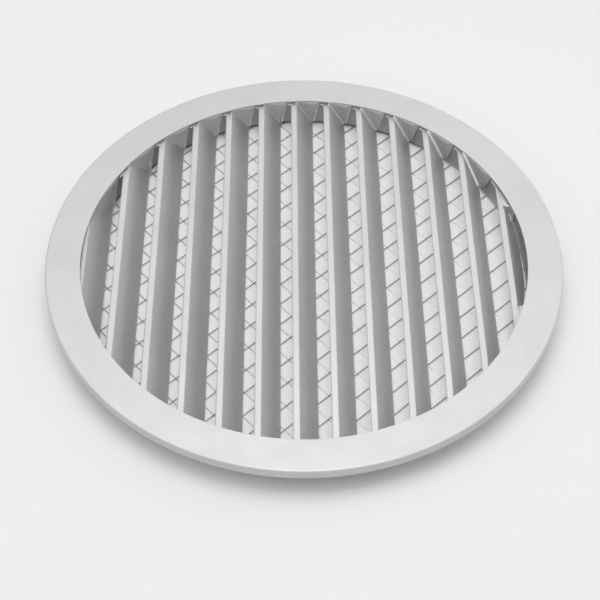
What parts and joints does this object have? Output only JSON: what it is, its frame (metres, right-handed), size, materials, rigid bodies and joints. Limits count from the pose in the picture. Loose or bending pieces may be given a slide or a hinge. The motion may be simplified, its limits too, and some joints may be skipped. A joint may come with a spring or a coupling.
{
  "type": "exterior ventilation grille",
  "caption": "Round exterior ventilation grille with fixed folded blades in a short collar, a flat face ring with a turned-back rim, and a welded wire mesh at the back.",
  "frame": {"origin": "centre of the back of the wire mesh, on which the grille stands on a surface with its face up", "axes": "+Z comes out of the face, +Y runs along the blades, +X runs across them, from a blade's flat lip towards its web's rear edge"},
  "size_m": [0.355, 0.355, 0.0254],
  "materials": {
    "face_sheet": "matt light grey, smooth",
    "collar_sheet": "mill finish, satin",
    "blade_sheet": "satin, light grey",
    "zinc_wire": "galvanised"
  },
  "bodies": {
    "root": {"face_ring": "face_sheet", "collar": "collar_sheet", "wire_mesh": "zinc_wire", "blade_01": "blade_sheet", "blade_02": "blade_sheet", "blade_03": "blade_sheet", "blade_04": "blade_sheet", "blade_05": "blade_sheet", "blade_06": "blade_sheet", "blade_07": "blade_sheet", "blade_08": "blade_sheet", "blade_09": "blade_sheet", "blade_10": "blade_sheet", "blade_11": "blade_sheet", "blade_12": "blade_sheet", "blade_13": "blade_sheet"}
  },
  "joints": []
}
